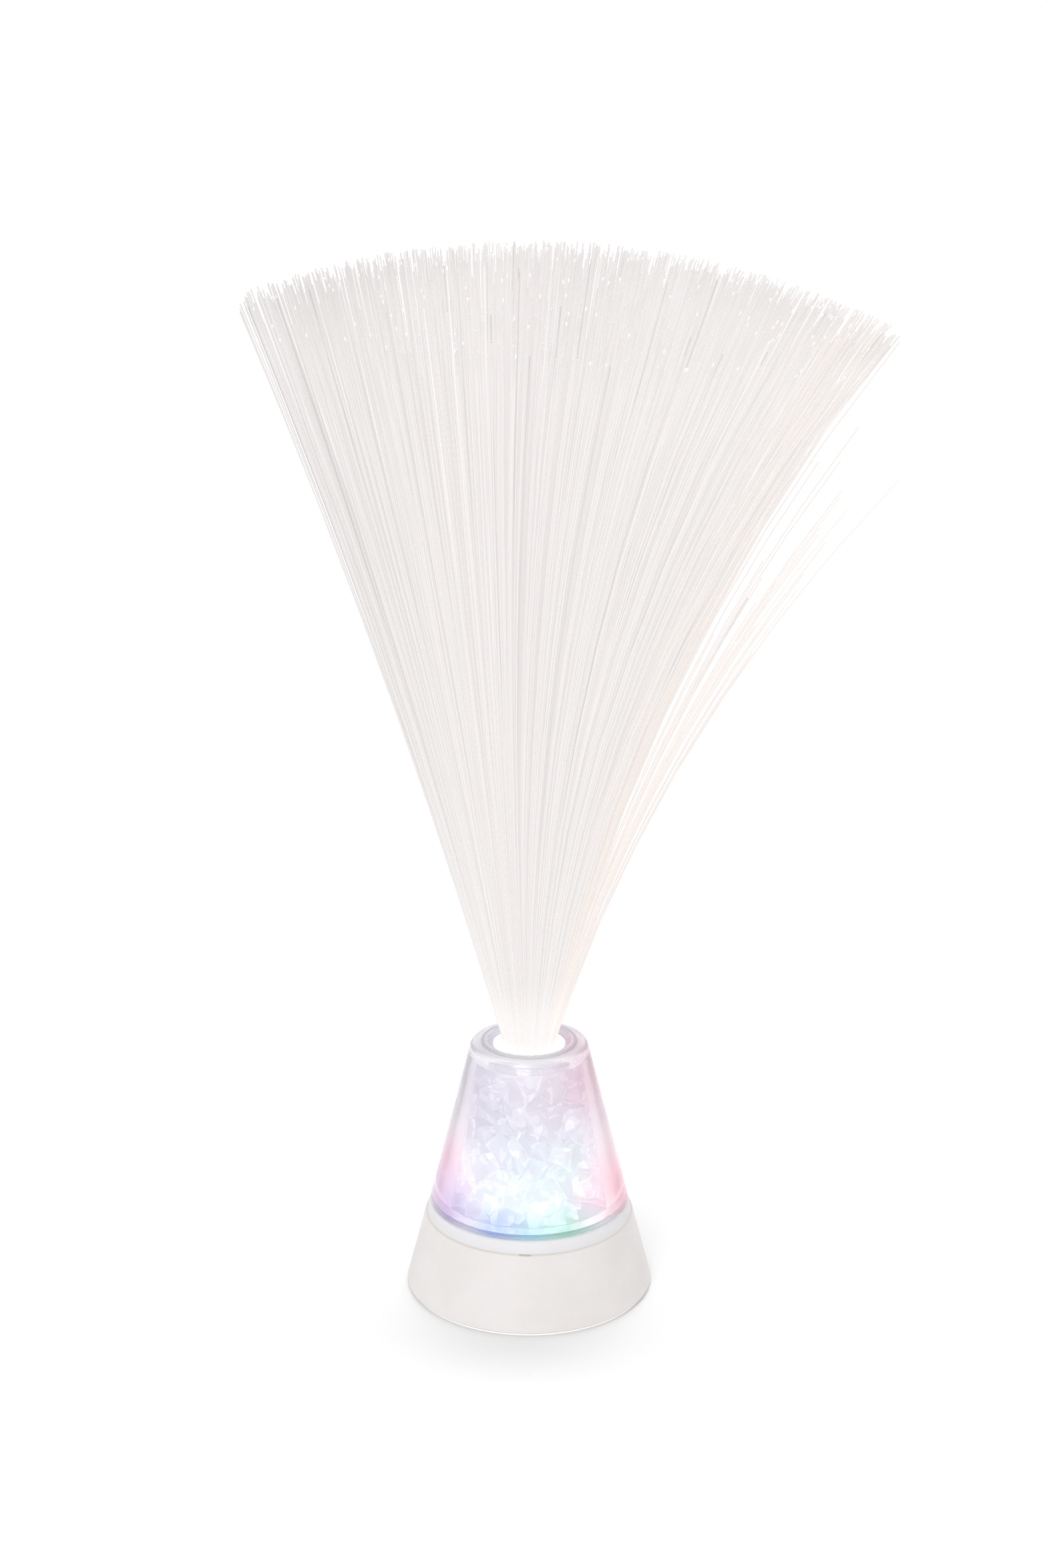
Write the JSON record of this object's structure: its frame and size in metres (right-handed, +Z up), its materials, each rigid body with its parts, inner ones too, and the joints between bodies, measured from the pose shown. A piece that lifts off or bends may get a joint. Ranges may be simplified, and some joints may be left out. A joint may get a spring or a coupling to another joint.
{
  "type": "fibre optic lamp",
  "caption": "Battery table lamp: white conical base, clear cone filled with lit clear chips, and a fan of optical fibres rising from its top; flap and slide switch underneath.",
  "frame": {"origin": "centre of the base on the surface that the lamp stands on", "axes": "+Z up along the lamp's axis, -Y to the front, +X to the side that the fibres lean to"},
  "size_m": [0.2169, 0.2091, 0.3557],
  "materials": {
    "white_plastic": "moulded white ABS, satin",
    "white_disc": "moulded translucent white, lit from below",
    "clear_plastic": "clear injection-moulded acrylic, polished",
    "frosted_plastic": "frosted acrylic, lit from below",
    "clear_chips": "clear acrylic chips with flat broken faces",
    "optical_fibre": "drawn clear acrylic fibre",
    "cell_wrap": "plain printed sleeve",
    "contact_steel": "nickel-plated spring strip",
    "board_green": "solder mask over glass laminate",
    "chip_black": "moulded black",
    "resistor_ceramic": "small ceramic bodies",
    "led_white_lens": "cast clear lens, lit white",
    "led_blue_lens": "cast lens, lit blue",
    "led_green_lens": "cast lens, lit green",
    "led_red_lens": "cast lens, lit red",
    "led_pink_lens": "cast lens, lit pink",
    "switch_steel": "stamped steel case",
    "knob_black": "moulded black, ribbed",
    "wire_red": "soft insulation",
    "wire_black": "soft insulation",
    "screw_steel": "zinc-plated",
    "foot_rubber": "soft non-slip ring"
  },
  "bodies": {
    "lamp": {"base_housing": "white_plastic", "battery_1": "cell_wrap", "battery_2": "cell_wrap", "battery_3": "cell_wrap", "board_screws": "screw_steel", "bottom_plate": "white_plastic", "bridge_contact_front": "contact_steel", "bridge_contact_rear": "contact_steel", "chamber_floor": "frosted_plastic", "circuit_board": "board_green", "clear_body": "clear_plastic", "contact_negative": "contact_steel", "contact_positive": "contact_steel", "controller_chip": "chip_black", "crystal_chips_1": "clear_chips", "crystal_chips_2": "clear_chips", "crystal_chips_3": "clear_chips", "crystal_chips_4": "clear_chips", "crystal_chips_5": "clear_chips", "crystal_chips_6": "clear_chips", "fibre_disc": "white_disc", "fibre_ferrule": "chip_black", "fibres_core": "optical_fibre", "fibres_ring_10": "optical_fibre", "fibres_ring_4": "optical_fibre", "fibres_ring_5": "optical_fibre", "fibres_ring_6": "optical_fibre", "fibres_ring_7": "optical_fibre", "fibres_ring_8": "optical_fibre", "fibres_ring_9": "optical_fibre", "foot_ring": "foot_rubber", "housing_screws": "screw_steel", "led_blue": "led_blue_lens", "led_green": "led_green_lens", "led_pink": "led_pink_lens", "led_red": "led_red_lens", "led_white": "led_white_lens", "light_tube": "frosted_plastic", "resistors": "resistor_ceramic", "switch_body": "switch_steel", "switch_screws": "screw_steel", "top_collar": "clear_plastic", "wire_negative": "wire_black", "wire_positive": "wire_red", "wire_switch": "wire_black"},
    "battery_door": {"battery_door": "white_plastic"},
    "switch_knob": {"switch_knob": "knob_black"}
  },
  "joints": [
    {"name": "door_hinge", "type": "hinge", "parent": "lamp", "child": "battery_door", "pos_m": [-0.02355, 0, 0.0018], "axis": [0, 1, 0], "range_deg": [0, 80]},
    {"name": "switch_slide", "type": "slide", "parent": "lamp", "child": "switch_knob", "axis": [1, 0, 0], "range_m": [-0.003, 0]}
  ]
}
